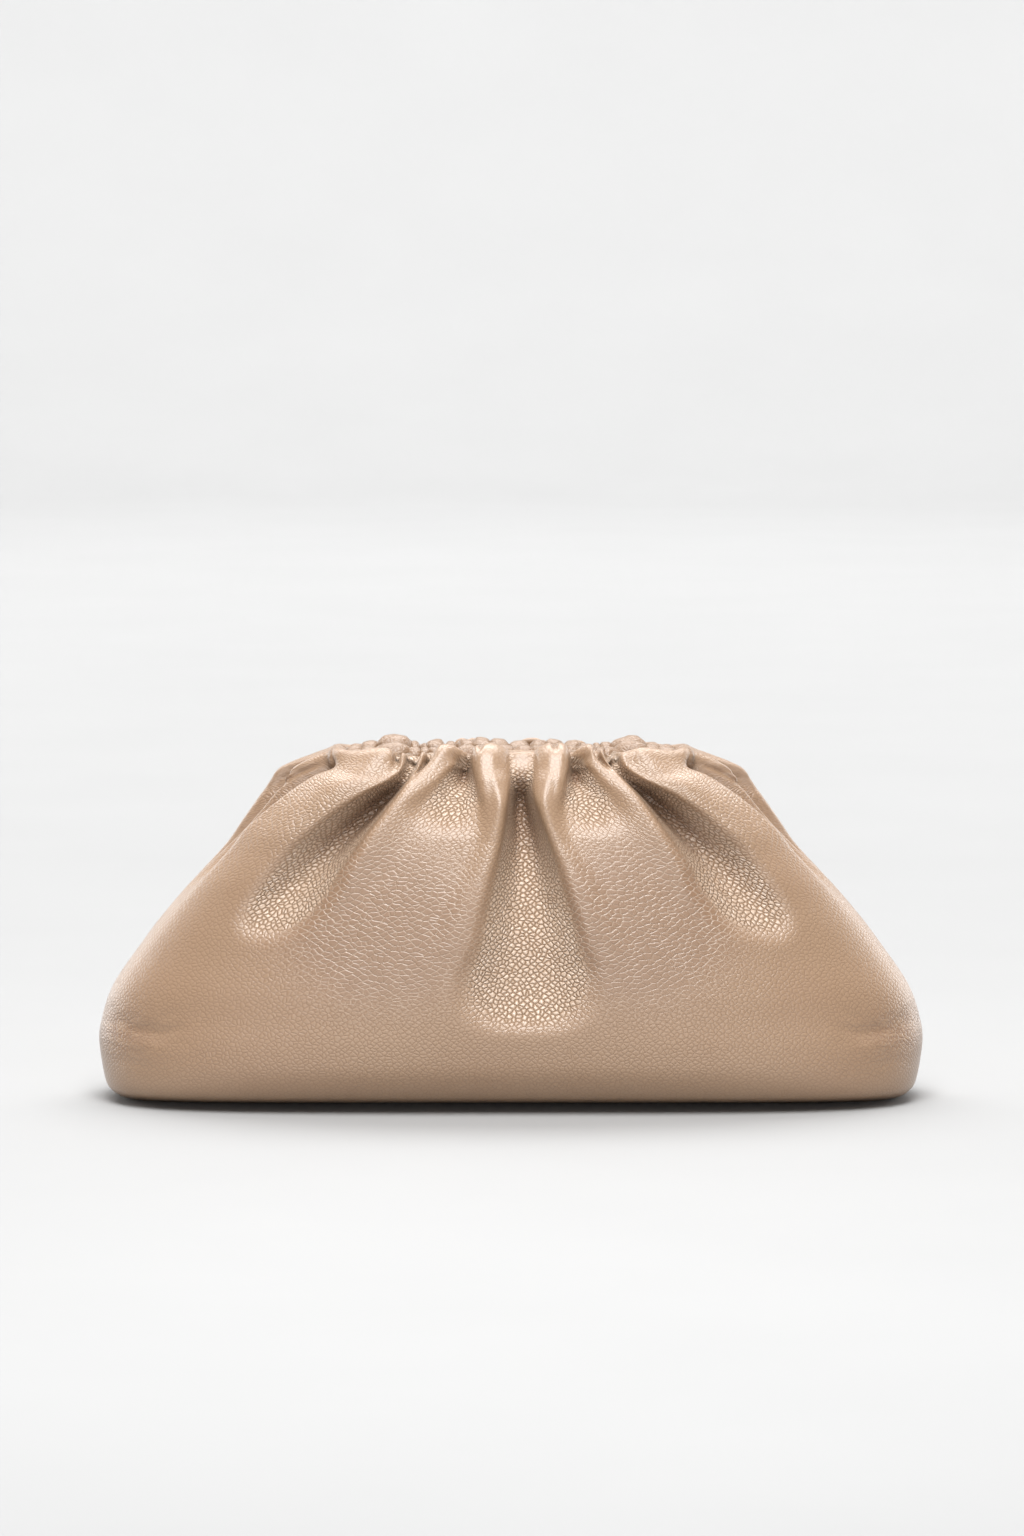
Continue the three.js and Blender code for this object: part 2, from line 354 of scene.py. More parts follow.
        # The corner cracks cut into the relief, and below their colour is darkened as painted shade in them
        cut = add_node(tree, MATH, TIMES, i0=self.cracks(tree, place), i1=puckered)
        height = add_node(tree, MATH, TIMES_PLUS, i0=cut, i1=-self.crack_share, i2=height)
        pale = self.ramp(tree, coarse, self.line_end, self.line_tone, 0.0)
        patches = add_node(tree, NOISE, Vector=solid, Scale=self.patches, Detail=1.0)
        for share in (stretched, self.ramp(tree, patches, 0.75, 0.15, 1.15)):
            pale = add_node(tree, MATH, TIMES, i0=pale, i1=share)
        # Painted highlight: close pebbles' tops go towards the pale line colour where the hide is drawn in
        tops = self.ramp(tree, dense, self.top_end, 0.0, self.top_highlight_tone)
        pale = add_node(tree, MATH, TIMES_PLUS, i0=tops, i1=tight, i2=pale)
        # Painted shade in the gaps between close pebbles, less of it where the hide is drawn in tight
        painted_shade_and_tone = self.ramp(tree, dense, self.gap_end, self.gap_shade_tone, 0.0)
        close = add_node(tree, MATH, MINUS, i0=1.0, i1=stretched)
        loose = add_node(tree, MATH, TIMES_PLUS, i0=tight, i1=-self.tight_loss, i2=1.0)
        for share in (close, loose):
            painted_shade_and_tone = add_node(tree, MATH, TIMES, i0=painted_shade_and_tone, i1=share)
        # The gap's colour goes over stretched hide as its darker tone, and into corner cracks and deep into
        # folds near the mouth as painted shade
        for share, tone in ((stretched, self.sunk_tone), (cut, self.crack_shade_tone), (deep, self.fold_shade_tone)):
            painted_shade_and_tone = add_node(tree, MATH, TIMES_PLUS, i0=share, i1=tone, i2=painted_shade_and_tone)
        return height, pale, painted_shade_and_tone, relief

    def material(self) -> Material:
        """Builds the leather's material.

        Returns:
            The material.
        """
        material, tree, shader = new_material(self.name)
        place = solid = add_node(tree, COORDINATES).outputs["Object"]
        if self.mapped:
            place = add_node(tree, "ShaderNodeUVMap", {"uv_map": "leather"}).outputs["UV"]
        dense = self.pebbles(tree, place, self.dense_mm, self.dense_mm * self.dense_squash)
        height = self.dome(tree, dense, 2.0, self.dense_share)
        if self.mapped:
            height, pale, painted_shade_and_tone, strength = self.varied(tree, place, solid, dense, height)
            shades = ((pale, self.line), (painted_shade_and_tone, self.gap))
        else:
            strength = 0.5
            # Painted shade in the gaps between pebbles
            shades = ((self.ramp(tree, dense, self.gap_end, self.gap_shade_tone, 0.0), self.gap),)
        pores = add_node(tree, NOISE, Vector=solid, Scale=1 / (self.pore_mm * MM), Detail=3.0)
        rise = add_node(tree, MATH, TIMES_PLUS, i0=pores, i1=self.pore_share, i2=height)
        bump = add_node(tree, "ShaderNodeBump", Strength=strength, Distance=self.height_mm * MM, Height=rise)
        cloud = add_node(tree, NOISE, Vector=solid, Scale=self.clouds, Detail=4.0)
        tone = add_node(tree, MIX, COLOURS, Factor=cloud, A=linear(self.hide), B=linear(self.bloom))
        for share, shade in shades:
            tone = add_node(tree, MIX, COLOURS, Factor=share, i6=tone.outputs[2], i7=linear(shade))
        low, high = self.roughness - 0.06, self.roughness + 0.1
        gloss = add_node(tree, MAP_RANGE, Value=pores, To_Min=low, To_Max=high)
        feed(tree, shader, Base_Color=tone.outputs[2], Roughness=gloss, IOR=1.5, Normal=bump)
        feed(tree, shader, Coat_Weight=self.topcoat, Coat_Roughness=0.32, Coat_IOR=1.6, Coat_Normal=bump)
        return material


@dataclass(frozen=True)
class FleshSide:
    """The suede side of the same calf, seen only inside: a dull nap with no grain."""

    name: str = "calf_flesh_side"
    nap: str = "#a98d78"
    worn: str = "#bea28c"
    fibre_mm: float = 0.9

    def material(self) -> Material:
        """Builds the suede's material.

        Returns:
            The material.
        """
        material, tree, shader = new_material(self.name)
        place = add_node(tree, COORDINATES).outputs["Object"]
        nap = add_node(tree, NOISE, Vector=place, Scale=1 / (self.fibre_mm * MM), Detail=4.0)
        tone = add_node(tree, MIX, COLOURS, Factor=nap, A=linear(self.nap), B=linear(self.worn))
        bump = add_node(tree, "ShaderNodeBump", Strength=0.3, Distance=0.2 * MM, Height=nap)
        feed(tree, shader, Base_Color=tone.outputs[2], Roughness=0.9, Sheen_Weight=0.3, Normal=bump)
        return material


@dataclass(frozen=True)
class SatinSteel:
    """Cold-drawn steel bar, nickelled and left satin, with fine lines along it."""

    name: str = "satin_nickelled_steel"
    metal: str = "#b5b0a6"
    line_mm: float = 0.25

    def material(self) -> Material:
        """Builds the steel's material.

        Returns:
            The material.
        """
        material, tree, shader = new_material(self.name)
        place = add_node(tree, COORDINATES).outputs["Object"]
        along = add_node(tree, "ShaderNodeMapping", Vector=place, Scale=(0.05, 1.0, 1.0))
        lines = add_node(tree, NOISE, Vector=along, Scale=1 / (self.line_mm * MM), Detail=2.0)
        gloss = add_node(tree, MAP_RANGE, Value=lines, To_Min=0.28, To_Max=0.45)
        feed(tree, shader, Base_Color=linear(self.metal), Metallic=1.0, Roughness=gloss)
        return material


@dataclass(frozen=True)
class StudioPaper:
    """Matt studio paper with a faint mottle."""

    name: str = "studio_paper"
    paper: str = "#a4a4a4"
    shade: str = "#a0a0a0"

    def material(self) -> Material:
        """Builds the paper's material.

        Returns:
            The material.
        """
        material, tree, shader = new_material(self.name)
        place = add_node(tree, COORDINATES).outputs["Object"]
        mottle = add_node(tree, NOISE, Vector=place, Scale=6.0, Detail=3.0)
        tone = add_node(tree, MIX, COLOURS, Factor=mottle, A=linear(self.paper), B=linear(self.shade))
        feed(tree, shader, Base_Color=tone.outputs[2], Roughness=0.9)
        return material


@dataclass(frozen=True)
class Gather:
    """A valley or a roll drawn on the front view, from the mouth downwards.

    Each row gives, in millimetres, the height, the middle's x, the reach to the left and
    to the right, and how far the leather moves there. floor is the flat share of the reach.
    crisp says how steeply the left and right walls end: 0 for a soft bell, 1 for half a wave.
    lean is how far sideways a roll's crest hangs over. above is how far the gather goes on
    past its highest row.
    """

    rows: tuple
    floor: float = 0.0
    crisp: tuple = (0.0, 0.0)
    lean: float = 0.0
    above: float = 30.0
    least_reach: float = 0.2

    def amount(self, x: np.ndarray, z: np.ndarray) -> np.ndarray:
        """Measures how far the leather moves at points of the front view.

        Args:
            x: Places to the right, in millimetres.
            z: Heights, in millimetres.

        Returns:
            Distances in millimetres, 0 or more.
        """
        rows = np.array(sorted(self.rows), float)
        at = rows[:, 0]
        middle, left, right, most = np.moveaxis(
            curve_through(at, rows[:, 1:], z.ravel()).reshape(z.shape + (4,)), -1, 0
        )
        away = np.abs(x - middle) / np.maximum(np.where(x < middle, left, right), self.least_reach)
        inside = (z > at[0]) & (z < at[-1] + self.above)
        wall = np.clip((away - self.floor) / (1 - self.floor), 0, 1)
        soft, sharp = 1 - smooth_step(0, 1, wall), np.cos(math.pi / 2 * wall)
        crisp = np.where(x < middle, *self.crisp)
        return np.where(inside, np.maximum(most, 0) * ((1 - crisp) * soft + crisp * sharp), 0)


def both_sides(rows: tuple, crisp: tuple = (0.0, 0.0), lean: float = 0.0, floor: float = 0.0) -> tuple:
    """Draws a gather on the left, and again turned round on the right.

    Args:
        rows: For each height, in millimetres: the height, the middle's x on the left and on the
            right, the reach outwards and inwards, and how far the leather moves.
        crisp: How steeply the outer and the inner wall end.
        lean: How far the left one's crest hangs over. The right one's hangs the other way.
        floor: The flat share of the reach.

    Returns:
        The left gather and the right one.
    """
    left = tuple((z, x, outer, inner, most) for z, x, _, outer, inner, most in rows)
    right = tuple((z, x, inner, outer, most) for z, _, x, outer, inner, most in rows)
    return Gather(left, floor, crisp, lean), Gather(right, floor, crisp[::-1], -lean)


@dataclass(frozen=True)
class Crease:
    """A narrow crease along a path on the front view, in millimetres."""

    path: tuple
    half: float
    depth: float

    def amount(self, x: np.ndarray, z: np.ndarray) -> np.ndarray:
        """Measures how far the leather is creased in at points of the front view.

        Args:
            x: Places to the right, in millimetres.
            z: Heights, in millimetres.

        Returns:
            Distances in millimetres, 0 or more.
        """
        most = np.zeros_like(x)
        count = len(self.path) - 1
        for i, ((ax, az), (bx, bz)) in enumerate(zip(self.path[:-1], self.path[1:])):
            run = np.hypot(bx - ax, bz - az)
            along = np.clip(((x - ax) * (bx - ax) + (z - az) * (bz - az)) / run**2, 0, 1)
            away = np.hypot(x - ax - along * (bx - ax), z - az - along * (bz - az)) / self.half
            # A crease is deepest halfway along and runs out at both ends
            fade = np.sin(np.pi * np.clip((i + along) / count, 0.02, 0.98)) ** 0.7
            most = np.maximum(most, self.depth * fade * (1 - smooth_step(0, 1, away)))
        return most


# fmt: off
VALLEYS = (
    # Centre trough
    Gather((
        (168, 5, 7, 7, 8), (158, 5, 7, 7, 12), (150, 5, 6.6, 6.6, 15), (143, 4.6, 6, 6.2, 18.5),
        (137, 4.2, 6.2, 7.2, 21.5), (130, 4.6, 7.6, 9.4, 23), (120, 5.8, 11, 12.8, 22),
        (107, 7.2, 16, 16.5, 19.6), (96, 7.8, 20, 20, 17.4), (84, 8.2, 24, 24.5, 15.2),
        (72, 8.6, 28, 28, 13), (60, 8.4, 34, 34, 11), (52, 7.8, 36, 36, 9.2), (45, 7.4, 36, 36, 6.8),
        (39, 7, 34, 34, 4), (34.5, 7, 30, 30, 1.5), (31.5, 7, 26, 26, 0.2), (30, 7, 24, 24, 0),
    ), floor=0.16, crisp=(0.2, 0.2)),
    # Left cup
    Gather((
        (161, -20.6, 4, 2.6, 0), (157, -20.8, 6, 3, 6), (153.5, -21, 5.5, 3.6, 13),
        (150, -21.2, 9, 4.6, 15), (146, -21.6, 13, 6.5, 13), (141, -22.6, 18, 9.5, 10),
        (136, -24, 22, 12.5, 7.4), (131, -26, 22, 15, 4.6), (127, -27, 19, 16.5, 2.6),
        (123, -27.4, 17, 17, 0.9), (119.5, -27.4, 15, 15, 0),
    ), floor=0.05, crisp=(0.2, 0.3)),
    # Right cup
    Gather((
        (161, 28.6, 2.6, 4, 0), (157, 28.8, 3, 6, 6), (153.5, 29, 3.6, 5.5, 13),
        (150, 29.4, 4.6, 8.5, 15), (146, 30, 6.5, 12, 13), (141, 31.6, 9.5, 16, 10),
        (136, 33, 12.5, 19, 7.4), (131, 35, 15, 20, 4.6), (127, 36.4, 16.5, 19, 2.6),
        (123, 37, 17, 17, 0.9), (119.5, 37, 15, 15, 0),
    ), floor=0.05, crisp=(0.3, 0.2)),
    # Notches
    *both_sides((
        (168, -12.6, 18.6, 1.8, 1.8, 4), (162, -12.8, 18.8, 1.8, 1.8, 3.4),
        (158.5, -13, 19, 1.8, 1.8, 1.6), (156, -13, 19, 1.8, 1.8, 0),
    ), crisp=(0.55, 0.55)),
    # Cup mouths
    *both_sides((
        (163, -18, 26, 2.4, 1.8, 2), (158, -19.4, 27.4, 3, 2, 5), (154.5, -20.2, 28.2, 3.6, 2.6, 10),
        (150.5, -20.9, 29.1, 4.8, 3.6, 17), (147, -21.5, 29.9, 5.6, 5, 16),
        (143.5, -22.2, 30.8, 6.5, 6, 9), (139, -23, 32, 7, 7, 0),
    ), crisp=(0.55, 0.55)),
    # Left hollow
    Gather((
        (168, -46, 2.4, 2.4, 3), (160, -46.5, 2.4, 2.4, 5), (153, -47, 3, 3, 8),
        (147.5, -48.6, 6.5, 4.6, 14.5), (140, -55, 15, 7.6, 20.5), (131, -63.5, 21, 9.8, 23),
        (120, -74, 25, 12.4, 22), (108, -85, 26, 16, 19.5), (98, -94.5, 25, 21, 15.5),
        (90, -102, 23, 23, 11), (83, -108, 20, 22, 6.4), (78, -111, 17, 20, 3),
        (74.5, -112.5, 14, 17, 1), (71, -113, 12, 14, 0),
    ), floor=0.06, crisp=(0.0, 0.2)),
    # Right hollow
    Gather((
        (168, 47.5, 2.4, 2.4, 3), (160, 48, 2.4, 2.4, 5), (154, 48.8, 3, 3, 8),
        (149, 51, 4.6, 6.5, 14.5), (140, 61, 7.6, 15, 20.5), (131, 69.5, 9.8, 21, 23),
        (120, 79.5, 12.4, 25, 22), (108, 90.5, 16, 26, 19.5), (98, 99, 21, 25, 15.5),
        (90, 106.5, 23, 23, 11), (83, 112.5, 22, 20, 6.4), (78, 115.5, 20, 17, 3),
        (74.5, 117.5, 17, 14, 1), (71, 118, 14, 12, 0),
    ), floor=0.06, crisp=(0.2, 0.0)),
    # Left pleat 1
    Gather((
        (168, -43.2, 2.4, 2.4, 4), (160, -43.6, 2.8, 2.6, 7), (153, -45, 3, 2.6, 9),
        (147.5, -46.8, 2.8, 2.2, 7), (142, -49.5, 2.2, 2, 0),
    ), crisp=(0.55, 0.55)),
    # Left pleat 2
    Gather((
        (168, -36, 2.4, 2.4, 4), (160, -36.4, 2.8, 2.8, 7), (154, -38.8, 2.8, 2.6, 8),
        (149, -41.8, 2.4, 2.4, 5), (144.5, -44.6, 2, 2, 0),
    ), crisp=(0.55, 0.55)),
    # Left pleat 3
    Gather((
        (168, -51.5, 2, 2, 4), (160, -52, 2.2, 2.2, 6), (154.5, -52.4, 2.2, 2.2, 5),
        (148, -52.4, 2, 2, 0),
    ), crisp=(0.55, 0.55)),
    # Right pleat 1
    Gather((
        (168, 44, 2.4, 2.4, 4), (160, 44.4, 2.6, 2.8, 7), (154, 46, 2.6, 3, 9),
        (149, 48.8, 2.2, 2.8, 7), (143.5, 52, 2, 2.2, 0),
    ), crisp=(0.55, 0.55)),
    # Right pleat 2
    Gather((
        (168, 36.6, 2.4, 2.4, 4), (160, 37, 2.8, 2.8, 7), (155, 39.4, 2.8, 2.6, 7.5),
        (149, 44, 2.2, 2.2, 0),
    ), crisp=(0.55, 0.55)),
)

ROLLS = (
    # Cheeks
    *both_sides((
        (168, -26, 33, 10, 9, 1), (162, -27, 34, 10, 9, 3), (155, -31.5, 37.5, 8, 10, 3.5),
        (147, -40, 46, 9, 11, 3.5), (138, -48, 54.5, 10, 12, 3.5), (128, -56.5, 63, 12, 15, 3.5),
        (115, -69, 75.5, 16, 20, 3), (100, -83, 89, 20, 24, 2.5), (84, -95, 100, 22, 24, 0),
    ), lean=-2.6),
    # Inner lobes
    *both_sides((
        (168, -10.4, 20, 7.4, 8, 0.6), (161, -10, 19.6, 8.2, 8.6, 3.4), (154, -9.4, 18.8, 8.8, 9, 7.4),
        (148, -8.6, 18, 8.4, 8.2, 7.2), (142, -8, 17.6, 8, 7.8, 5.2), (135, -7, 16.8, 7.6, 7.4, 3.4),
        (127, -7.6, 17.8, 7.2, 7, 1.6), (118, -9.5, 21.5, 7, 7, 0),
    ), floor=0.25, crisp=(0.85, 0.85), lean=-1.8),
    # Rim rolls
    *both_sides((
        (150, -4.2, 14.2, 4.8, 4.6, 0), (142, -4, 14, 5.4, 4.8, 1.6), (135, -4.2, 15, 6, 5.4, 2.8),
        (120, -8, 20.5, 8, 7.5, 2.4), (105, -13, 28, 11, 9, 2), (85, -20, 36, 15, 12, 1.4),
        (60, -29, 45, 17, 14, 0),
    ), lean=0.6),
    # Centre wedge
    Gather((
        (168, 5, 5.6, 5.6, 8), (160, 5, 5.6, 5.6, 10), (153, 5, 5.2, 5.2, 10.5), (147, 4.9, 4, 4, 9),
        (142.5, 4.7, 2.6, 2.6, 4.5), (139, 4.6, 1.4, 1.4, 0),
    ), floor=0.2, crisp=(0.7, 0.7)),
    # Shoulders
    *both_sides((
        (168, -58, 59, 16, 8, 1), (160, -58, 59.5, 18, 9, 2.4), (153, -64, 65, 18, 13, 2.8),
        (143, -79, 81.5, 20, 16, 2.8), (130, -97, 100, 22, 18, 2.6), (112, -117, 120, 24, 22, 1.6),
        (92, -134, 137, 24, 24, 0),
    )),
)

# Each crease's path, half width and depth, drawn for the right and mirrored for the left
CREASES = tuple(
    Crease(tuple((side * x, z) for x, z in path), half, depth)
    for side in (-1, 1)
    for path, half, depth in (
        (((188, 36), (174, 33), (160, 31.5), (148, 33)), 3.0, 2.4),
        (((187, 30), (176, 29.5), (166, 29), (157, 28)), 2.0, 1.4),
        (((187, 41), (178, 38), (168, 36.5)), 2.0, 1.2),
        (((186, 25), (175, 24), (167, 22)), 1.9, 1.0),
        (((184, 19), (174, 18), (165, 15)), 1.9, 0.8),
        (((170, 34), (160, 37), (150, 41)), 1.9, 0.9),
        (((168, 30), (156, 27), (144, 26)), 1.9, 0.8),
        (((114, 138), (106, 144.5), (98, 149.5), (88, 153.5)), 1.8, 2.0),
        (((110, 144), (104, 149), (96, 152.5)), 1.6, 1.5),
    )
)
# fmt: on


@dataclass
class LeatherWrap:
    """The clutch's leather: one wrap from the sole up over both lips into the mouth."""

    width: float = 0.38
    height: float = 0.166
    depth: float = 0.128
    wall: float = 0.0015
    mouth_half: float = 0.0828
    mouth_depth_half: float = 0.0222
    tuck: tuple = (
        # How far the sides are tucked in at each y, in millimetres, as a share of the fold
        (-30, 0.0), (-24, -0.1), (-19.5, -0.2), (-17.5, -0.12), (-15.5, 0.3), (-12, 0.9),
        (-9.5, 1.0), (-7, 0.8), (-4.5, 0.4), (-2.5, 0.25), (0, 0.25), (1.5, 0.4),
        (3.5, 0.95), (5.5, 1.1), (7.5, 0.6), (10.5, 0.08), (15, 0.0),
    )  # fmt: skip
    ear_rise: tuple = (
        # How much of the ear has been reached at each y, in millimetres
        (-10, 0.0), (-5, 0.55), (-2.5, 0.85), (1, 0.88), (5, 0.9), (8, 0.98), (11, 1.0),
    )  # fmt: skip
    # The front view looks down by this much, as the photo does
    tilt_degrees: float = 6.0
    # How deep the back's folds are against the front's
    back_share: float = 0.8
    # How far each lip hangs below the full height, what the front adds away from its middle, and
    # between which shares of the height the hanging sets in
    front_sag: float = 0.0016
    aside_sag: float = 0.0012
    back_sag: float = 0.0035
    sag_heights: tuple = (0.84, 0.965)
    # Where the grain changes, on both sides of the front view: a place and the reach across and up,
    # in millimetres
    cheek_patch: tuple = (58, 88, 46, 40)
    corner_patch: tuple = (180, 34, 19, 11)
    shoulder_patch: tuple = (92, 130, 26, 20)
    # The mesh's rows and columns, how much closer its rows stand near the mouth, and between which
    # shares of the way up that sets in
    rows: int = 176
    front_columns: int = 316
    back_columns: int = 204
    crowding: float = 1.5
    crowded: tuple = (0.55, 0.8)
    # How evenly each row's points end up spaced, and how the finished grid is smoothed
    evenness: float = 0.65
    smoothings: int = 3
    smoothing: float = 0.3
    # The mouth's folds run on into it: from which share of the height, over how many rows past the
    # crest, and how near the middle plane the leather may come
    mouth_share: float = 0.945
    mouth_rows: int = 4
    least_gap: float = 0.002
    # How much a fold moves the leather sideways against outwards, and how near the sides folds fade
    sideways: float = 0.35
    side_fade: float = 0.012
    # The flesh side takes one row and column in this many, up to this share of the rows
    flesh_step: int = 4
    flesh_share: float = 0.84
    sections: tuple = (
        # Height, width and depth, how square the ends and the belly are, the side's fold and its ear
        (0.0, 0.868, -0.05, 7.0, 3.2, 0, 0),
        (0.01, 0.91, 0.2, 6.5, 3.0, 0, 0),
        (0.03, 0.948, 0.64, 5.6, 2.8, 0, 0),
        (0.05, 0.97, 0.83, 4.8, 2.6, 0, 0),
        (0.11, 0.99, 0.97, 3.8, 2.4, 0, 0),
        (0.18, 1.0, 1.0, 3.3, 2.3, 0, 0),
        (0.25, 0.978, 0.995, 2.9, 2.2, 0, 0),
        (0.32, 0.935, 0.975, 2.7, 2.2, 0, 0),
        (0.415, 0.835, 0.93, 2.5, 2.2, 0, 0),
        (0.51, 0.725, 0.86, 2.5, 2.3, 0, 0),
        (0.61, 0.598, 0.765, 2.6, 2.4, 0.012, 0),
        (0.7, 0.46, 0.655, 2.8, 2.5, 0.055, 0.008),
        (0.76, 0.367, 0.57, 3.0, 2.7, 0.11, 0.025),
        (0.82, 0.258, 0.465, 3.2, 2.9, 0.13, 0.05),
        (0.87, 0.158, 0.365, 3.6, 3.2, 0.12, 0.074),
        (0.91, 0.07, 0.26, 4.4, 3.8, 0.075, 0.096),
        (0.934, 0.01, 0.18, 4.6, 4.0, 0.035, 0.088),
        (0.95, 0.0, 0.12, 4.8, 4.2, 0.012, 0.055),
        (0.968, 0.0, 0.05, 5.0, 4.4, 0.0, 0.018),
        (0.985, -0.008, -0.01, 5.2, 4.6, 0, 0),
        (0.993, -0.03, -0.08, 6.0, 5.0, 0, 0),
        # Past the crest the leather turns down into the mouth
        (0.985, -0.065, -0.15, 7.0, 5.0, 0, 0),
        (0.962, -0.085, -0.18, 8.0, 5.0, 0, 0),
        (0.935, -0.09, -0.19, 8.0, 5.0, 0, 0),
    )

    def level_values(self) -> np.ndarray:
        """Reads the section table at each row of the mesh.

        Returns:
            One row of section values for each mesh row, crowded towards the mouth.
        """
        table = np.array(self.sections, float)
        reach = (self.height, self.width / 2 - self.mouth_half, self.depth / 2 - self.mouth_depth_half)
        steps = np.diff(table[:, :3] * reach * (1, 0.6, 1), axis=0)
        at = run_up(np.linalg.norm(steps, axis=1))
        fine = np.linspace(0, at[-1], 2000)
        crowd = 1 + self.crowding * smooth_step(*self.crowded, fine / at[-1])
        passed = run_up((crowd[1:] + crowd[:-1]) / 2)
        wanted = np.interp(np.linspace(0, passed[-1], self.rows), passed, fine)
        return curve_through(at, table, wanted)

    def outline(self, values: np.ndarray, face: Face, samples: int) -> np.ndarray:
        """Places evenly spaced points along one face's half of every level section.

        Args:
            values: Section values, one row for each mesh row.
            face: Which face.
            samples: How many points in each row.

        Returns:
            Rows by samples by 3 coordinates: the back from right to left, or the front on to the right.
        """
        start = 0.0 if face is Face.BACK else math.pi
        angles = start + np.pi * np.linspace(0, 1, 6 * samples)[None, :]
        height, width, depth, ends, belly, fold, ear = (column[:, None] for column in values.T)
        across, along = np.cos(angles), np.sin(angles)
        half_deep = self.mouth_depth_half + (self.depth / 2 - self.mouth_depth_half) * depth
        y = np.sign(along) * half_deep * np.abs(along) ** (2 / belly)
        half = self.width / 2
        reached = np.interp(y / MM, *np.array(self.ear_rise).T)
        wide = self.mouth_half + (half - self.mouth_half) * width + half * ear * reached
        out = wide * np.abs(across) ** (2 / ends)
        tuck = np.interp(y / MM, *np.array(self.tuck).T)
        out = out - half * fold * tuck * smooth_step(0, self.mouth_half / 2, out)
        x = np.sign(across) * out
        sag = self.lip_sag(x, face) * smooth_step(*self.sag_heights, height)
        points = np.stack([x, y, self.height * height - sag], axis=-1)
        return self.respaced(points, samples, 1.0)

    def lip_sag(self, x: np.ndarray, face: Face) -> np.ndarray:
        """Says how far the lip hangs below its full height.

        Args:
            x: Places across the clutch.
            face: Which lip.

        Returns:
            Distances in metres.
        """
        aside = smooth_step(0.026, 0.05, np.abs(x - 0.003))
        ends = smooth_step(0.07, 0.09, np.abs(x))
        front = self.front_sag + self.aside_sag * aside
        return (front if face is Face.FRONT else self.back_sag) * (1 - ends)

    @staticmethod
    def respaced(points: np.ndarray, samples: int, evenness: float) -> np.ndarray:
        """Spaces the points of each row anew along it.

        Args:
            points: Rows by points by values, of which the first 3 are coordinates.
            samples: How many points each row gets.
            evenness: 1 for even spacing along the row, 0 for the points' own spacing.

        Returns:
            Rows by samples by values.
        """
        gaps = np.linalg.norm(np.diff(points[..., :3], axis=1), axis=2)
        own = np.linspace(0, 1, points.shape[1])
        wanted = np.linspace(0, 1, samples)
        result = np.empty((points.shape[0], samples, points.shape[2]))
        for row, gap in enumerate(gaps):
            run = run_up(gap)
            share = evenness * run / run[-1] + (1 - evenness) * own
            for column in range(points.shape[2]):
                result[row, :, column] = np.interp(wanted, share, points[row, :, column])
        return result

    @staticmethod
    def normals(points: np.ndarray) -> np.ndarray:
        """Finds the outward direction at each point of a grid of rows that turn left going up."""
        normal = np.cross(np.gradient(points, axis=1), np.gradient(points, axis=0))
        return normal / np.maximum(np.linalg.norm(normal, axis=2, keepdims=True), 1e-12)

    def folded(self, points: np.ndarray, face: Face) -> np.ndarray:
        """Presses the valleys and creases in and raises the rolls.

        Args:
            points: Rows by points by 3 coordinates of one face, unfolded.
            face: Which face.

        Returns:
            Rows by points by 5 values: coordinates, valley depth and roll height in millimetres.
        """
        tilt = math.radians(self.tilt_degrees)
        toward = face.value
        x = -toward * points[..., 0] / MM
        z = (points[..., 2] * math.cos(tilt) - np.abs(points[..., 1]) * math.sin(tilt)) / MM
        valley = sum(g.amount(x, z) ** 4 for g in VALLEYS) ** 0.25
        middle = points[:, points.shape[1] // 2, 2]
        crest = int(np.argmax(middle))
        mouth = middle[: crest + 1].searchsorted(self.mouth_share * self.height)
        deepest = valley[mouth : crest + 1].max(axis=0)
        past = smooth_step(0, self.mouth_rows, np.arange(len(points)) - crest)[:, None]
        valley = valley + past * np.maximum(deepest + 1 - valley, 0)
        crease = sum(c.amount(x, z) for c in CREASES)
        rolls = [g.amount(x, z) for g in ROLLS]
        roll = sum(rolls)
        lean = sum(amount * g.lean / max(row[4] for row in g.rows) for g, amount in zip(ROLLS, rolls))
        share = 1.0 if face is Face.FRONT else self.back_share
        inside = smooth_step(0.0, self.side_fade, np.abs(points[..., 1]))
        move = share * inside * (roll - valley) * MM
        normal = self.normals(points)
        creased = normal * (share * crease * MM)[..., None]
        # Folds move the leather out and in, and up or down only near the crest
        normal[..., 0] *= self.sideways
        normal[..., 2] *= 0.2 + 0.7 * smooth_step(0.93, 0.975, points[..., 2] / self.height)
        # Past the crest the leather faces the mouth, so there it moves level and across
        normal = normal * (1 - past[..., None]) + np.array([0, toward, 0]) * past[..., None]
        moved = points + normal * move[..., None] - creased
        moved[..., 0] -= toward * share * inside * lean * MM
        apart = toward * np.maximum(toward * moved[..., 1], self.least_gap)
        moved[..., 1] = np.where(past > 0, apart, moved[..., 1])
        return np.concatenate([moved, valley[..., None], roll[..., None]], axis=2)

    def grid(self) -> np.ndarray:
        """Builds the folded leather as a grid that goes round and up.

        Returns:
            Rows by columns by 5 values, as folded() gives.
        """
        values = self.level_values()
        halves = []
        for face, columns in ((Face.BACK, self.back_columns), (Face.FRONT, self.front_columns)):
            folded = self.folded(self.outline(values, face, 4 * columns), face)
            halves.append(self.respaced(folded, columns + 1, self.evenness)[:, :-1])
        grid = np.concatenate(halves, axis=1)
        for _ in range(self.smoothings):
            beside = (np.roll(grid, 1, axis=1) + np.roll(grid, -1, axis=1)) / 2
            level = grid.copy()
            level[1:-1] = (grid[2:] + grid[:-2]) / 2
            grid[1:-1, :, :3] += self.smoothing * ((beside + level) / 2 - grid)[1:-1, :, :3]
        return np.roll(grid, -(self.back_columns // 2), axis=1)

